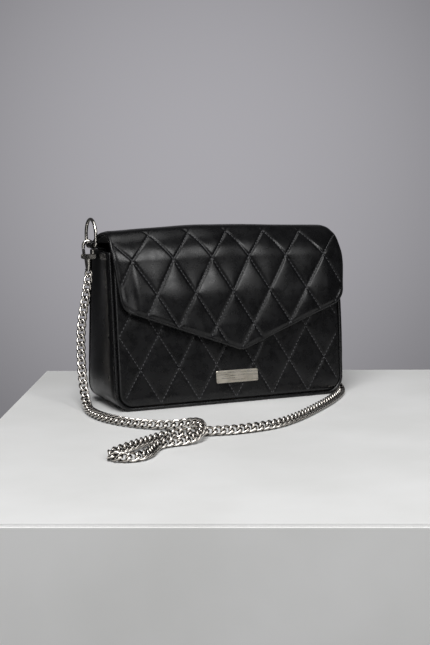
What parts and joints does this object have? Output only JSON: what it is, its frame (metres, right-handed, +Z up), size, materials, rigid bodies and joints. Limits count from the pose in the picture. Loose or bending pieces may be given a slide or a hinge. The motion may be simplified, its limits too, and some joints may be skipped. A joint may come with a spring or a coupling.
{
  "type": "chain shoulder bag",
  "caption": "Small quilted shoulder bag with a pointed envelope flap, magnetic snap, bare metal plate, and a curb chain clipped to side rings by snap hooks.",
  "frame": {"origin": "middle of the flat bottom, where the bag stands", "axes": "+X along the bag to a viewer's right, -Y the front with the flap's point, +Z up"},
  "size_m": [0.3188, 0.2816, 0.1722],
  "materials": {
    "quilted_leather": "black, semi-gloss, quilted in diamonds",
    "smooth_leather": "black, satin, smooth",
    "piping_leather": "black, satin, drawn over cord",
    "lining_cloth": "black twill",
    "board": "dark stiffener board",
    "bare_plate": "pale nickel, satin, bare",
    "snap_metal": "nickel plated",
    "polished_nickel": "polished nickel",
    "chain_nickel": "polished nickel"
  },
  "bodies": {
    "bag": {"front_panel": "quilted_leather", "gusset": "smooth_leather", "back_panel": "smooth_leather", "left_ring_tab": "smooth_leather", "right_ring_tab": "smooth_leather", "front_piping": "piping_leather", "back_piping": "piping_leather", "lining": "lining_cloth", "base_board": "board", "name_plate": "bare_plate", "plate_backing": "bare_plate", "snap_socket": "snap_metal", "snap_socket_washer": "snap_metal", "chain_left_drop": "chain_nickel", "chain_front_run": "chain_nickel", "chain_hank": "chain_nickel", "chain_right_run": "chain_nickel", "chain_right_riser": "chain_nickel"},
    "flap": {"flap_outer": "quilted_leather", "flap_lining": "smooth_leather", "snap_stud": "snap_metal", "snap_stud_washer": "snap_metal"},
    "left_ring": {"left_ring": "polished_nickel"},
    "left_hook": {"left_hook": "polished_nickel", "left_gate_pin": "polished_nickel"},
    "left_gate": {"left_hook_gate": "polished_nickel"},
    "left_swivel": {"left_swivel": "polished_nickel"},
    "right_ring": {"right_ring": "polished_nickel"},
    "right_hook": {"right_hook": "polished_nickel", "right_gate_pin": "polished_nickel"},
    "right_gate": {"right_hook_gate": "polished_nickel"},
    "right_swivel": {"right_swivel": "polished_nickel"}
  },
  "joints": [
    {"name": "flap_fold", "type": "hinge", "parent": "bag", "child": "flap", "pos_m": [0, 0.0285, 0.1438], "axis": [-1, 0, 0], "range_deg": [0, 190]},
    {"name": "left_ring_swing", "type": "hinge", "parent": "bag", "child": "left_ring", "pos_m": [-0.122, 0, 0.1475], "axis": [0, -1, 0], "range_deg": [-20, 95]},
    {"name": "left_hook_swing", "type": "hinge", "parent": "bag", "child": "left_hook", "pos_m": [-0.122, 0.009, 0.1475], "axis": [0, 1, 0], "range_deg": [-2, 40], "deforming": ["chain_left_drop"]},
    {"name": "left_gate_pivot", "type": "hinge", "parent": "left_hook", "child": "left_gate", "pos_m": [-0.126, 0.009, 0.1373], "axis": [0, 1, 0], "range_deg": [0, 25], "stiffness_Nm_per_rad": 0.004},
    {"name": "left_swivel_turn", "type": "hinge", "parent": "left_hook", "child": "left_swivel", "pos_m": [-0.122, 0.009, 0.1343], "axis": [0, 0, 1], "continuous": true, "deforming": ["chain_left_drop"]},
    {"name": "right_ring_swing", "type": "hinge", "parent": "bag", "child": "right_ring", "pos_m": [0.122, 0, 0.136], "axis": [0, -1, 0], "range_deg": [0, 120], "deforming": ["chain_right_riser"]},
    {"name": "right_hook_swing", "type": "hinge", "parent": "right_ring", "child": "right_hook", "pos_m": [0.122, 0, 0.1115], "axis": [0, -1, 0], "range_deg": [-2, 45], "deforming": ["chain_right_riser"]},
    {"name": "right_gate_pivot", "type": "hinge", "parent": "right_hook", "child": "right_gate", "pos_m": [0.126, 0, 0.1026], "axis": [0, -1, 0], "range_deg": [0, 25], "stiffness_Nm_per_rad": 0.004},
    {"name": "right_swivel_turn", "type": "hinge", "parent": "right_hook", "child": "right_swivel", "pos_m": [0.122, 0, 0.0996], "axis": [0, 0, 1], "continuous": true, "deforming": ["chain_right_riser"]}
  ]
}
